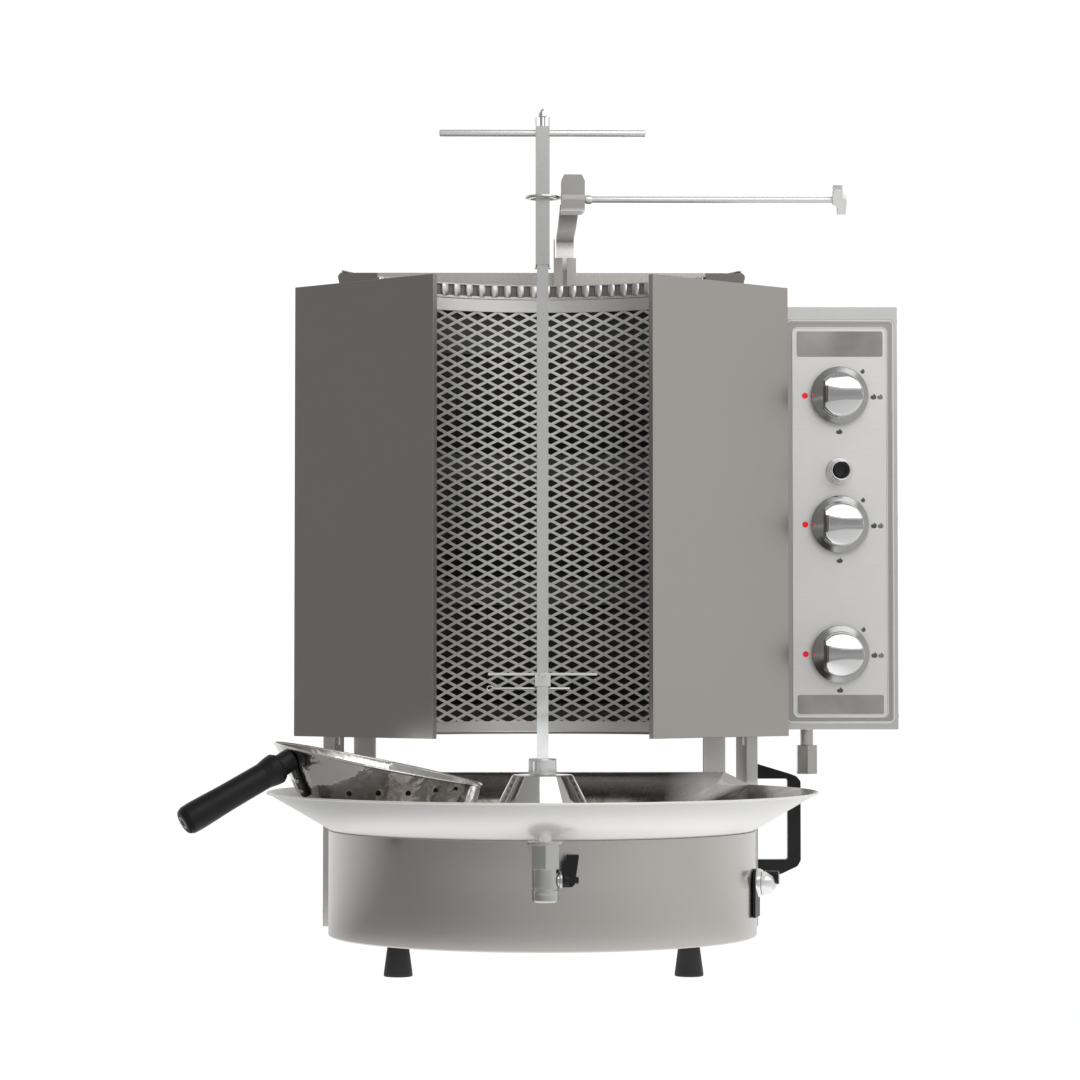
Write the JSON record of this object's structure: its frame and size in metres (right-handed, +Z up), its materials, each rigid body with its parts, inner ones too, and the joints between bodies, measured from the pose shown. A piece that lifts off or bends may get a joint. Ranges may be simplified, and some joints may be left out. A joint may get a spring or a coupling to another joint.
{
  "type": "vertical gas rotisserie oven",
  "caption": "Vertical gas rotisserie with an upright spit on a motor drum, round drip tray, curved mesh burner wall, swinging heat doors, knob box and carving pan",
  "frame": {"origin": "middle of the footprint of the whole object at rest, on the floor under the feet", "axes": "+Z up along the spit, front (open side, drain tap) towards -Y, control box towards +X"},
  "size_m": [0.814, 0.651, 0.977],
  "materials": {
    "brushed_steel": "brushed",
    "polished_steel": "polished",
    "chrome": "mirror",
    "dark_steel": "brushed, heat darkened",
    "door_dark": "brushed, in shade",
    "label": "satin",
    "brass": "machined",
    "plaque": "ceramic plaques in a steel case",
    "black_plastic": "satin",
    "rubber": "matt",
    "cast": "as cast"
  },
  "bodies": {
    "stand": {"base_drum": "brushed_steel", "base_deck": "dark_steel", "rear_box": "brushed_steel", "foot_front_left": "rubber", "foot_front_right": "rubber", "foot_rear_left": "rubber", "foot_rear_right": "rubber", "gearmotor": "cast", "shaft_bearing": "cast", "drip_tray": "polished_steel", "drain_valve": "chrome", "burner_frame": "brushed_steel", "burner_mesh": "brushed_steel", "top_panel": "brushed_steel", "bottom_panel": "brushed_steel", "back_panel": "brushed_steel", "side_wall_left": "brushed_steel", "side_wall_right": "brushed_steel", "burner_1": "plaque", "burner_2": "plaque", "burner_3": "plaque", "side_post_left": "brushed_steel", "side_post_right": "brushed_steel", "rear_post_left": "brushed_steel", "rear_post_right": "brushed_steel", "bow_handle": "black_plastic", "control_box": "brushed_steel", "label_plate": "label", "igniter_bezel": "chrome", "gas_rail": "brass", "gas_valve_1": "brass", "gas_valve_2": "brass", "gas_valve_3": "brass", "hinge_left": "brushed_steel", "hinge_right": "brushed_steel", "switch_plate": "black_plastic"},
    "drive": {"drive_shaft": "brushed_steel", "spit_socket": "chrome", "drip_cone": "polished_steel"},
    "spit": {"spit_rod": "chrome", "spit_sleeve": "brushed_steel", "meat_support": "chrome"},
    "lifting_bar": {"lifting_bar": "chrome"},
    "support_pin": {"support_pin": "chrome"},
    "door_left": {"door_left": "door_dark"},
    "door_right": {"door_right": "brushed_steel"},
    "arm": {"support_arm": "brushed_steel", "spit_ring": "chrome"},
    "clamp_screw": {"clamp_screw": "chrome"},
    "spindle_1": {"valve_spindle_1": "dark_steel"},
    "knob_1": {"knob_1": "chrome"},
    "spindle_2": {"valve_spindle_2": "dark_steel"},
    "knob_2": {"knob_2": "chrome"},
    "spindle_3": {"valve_spindle_3": "dark_steel"},
    "knob_3": {"knob_3": "chrome"},
    "igniter_button": {"igniter_button": "black_plastic"},
    "tap_lever": {"tap_lever": "black_plastic"},
    "switch_knob": {"switch_knob": "black_plastic"},
    "scoop": {"scoop_pan": "polished_steel", "scoop_handle": "black_plastic"}
  },
  "joints": [
    {"name": "spit_spin", "type": "hinge", "parent": "stand", "child": "drive", "pos_m": [-0.013, -0.0145, 0.12], "axis": [0, 0, 1], "continuous": true},
    {"name": "spit_lift", "type": "slide", "parent": "drive", "child": "spit", "axis": [0, 0, 1], "range_m": [0, 0.05]},
    {"name": "lifting_bar_slide", "type": "slide", "parent": "spit", "child": "lifting_bar", "axis": [1, 0, 0], "range_m": [0, 0.12]},
    {"name": "support_pin_pull", "type": "slide", "parent": "spit", "child": "support_pin", "axis": [-1, 0, 0], "range_m": [0, 0.045]},
    {"name": "door_left_swing", "type": "hinge", "parent": "stand", "child": "door_left", "pos_m": [-0.289, 0.0907, 0.52], "axis": [0, 0, 1], "range_deg": [-100, 15]},
    {"name": "door_right_swing", "type": "hinge", "parent": "stand", "child": "door_right", "pos_m": [0.263, 0.0907, 0.52], "axis": [0, 0, 1], "range_deg": [-15, 80]},
    {"name": "arm_height", "type": "slide", "parent": "stand", "child": "arm", "axis": [0, 0, 1], "range_m": [0, 0.04]},
    {"name": "clamp_turn", "type": "hinge", "parent": "arm", "child": "clamp_screw", "pos_m": [0.326, -0.0145, 0.873], "axis": [1, 0, 0], "continuous": true},
    {"name": "valve_turn_1", "type": "hinge", "parent": "stand", "child": "spindle_1", "pos_m": [0.338, 0.1055, 0.3545], "axis": [0, 1, 0], "range_deg": [0, 270]},
    {"name": "knob_push_1", "type": "slide", "parent": "spindle_1", "child": "knob_1", "axis": [0, 1, 0], "range_m": [0, 0.004], "stiffness_N_per_m": 900},
    {"name": "valve_turn_2", "type": "hinge", "parent": "stand", "child": "spindle_2", "pos_m": [0.338, 0.1055, 0.507], "axis": [0, 1, 0], "range_deg": [0, 270]},
    {"name": "knob_push_2", "type": "slide", "parent": "spindle_2", "child": "knob_2", "axis": [0, 1, 0], "range_m": [0, 0.004], "stiffness_N_per_m": 900},
    {"name": "valve_turn_3", "type": "hinge", "parent": "stand", "child": "spindle_3", "pos_m": [0.338, 0.1055, 0.659], "axis": [0, 1, 0], "range_deg": [0, 270]},
    {"name": "knob_push_3", "type": "slide", "parent": "spindle_3", "child": "knob_3", "axis": [0, 1, 0], "range_m": [0, 0.004], "stiffness_N_per_m": 900},
    {"name": "igniter_push", "type": "slide", "parent": "stand", "child": "igniter_button", "axis": [0, 1, 0], "range_m": [0, 0.005], "stiffness_N_per_m": 700},
    {"name": "tap_turn", "type": "hinge", "parent": "stand", "child": "tap_lever", "pos_m": [0.013, -0.2765, 0.116], "axis": [1, 0, 0], "range_deg": [0, 90]},
    {"name": "switch_turn", "type": "hinge", "parent": "stand", "child": "switch_knob", "pos_m": [0.23839, -0.07254, 0.099], "axis": [0.9744, -0.225, 0], "range_deg": [0, 90]},
    {"name": "scoop_lift", "type": "slide", "parent": "stand", "child": "scoop", "axis": [-0.2999, -0.7498, 0.5898], "range_m": [0, 0.25]}
  ]
}
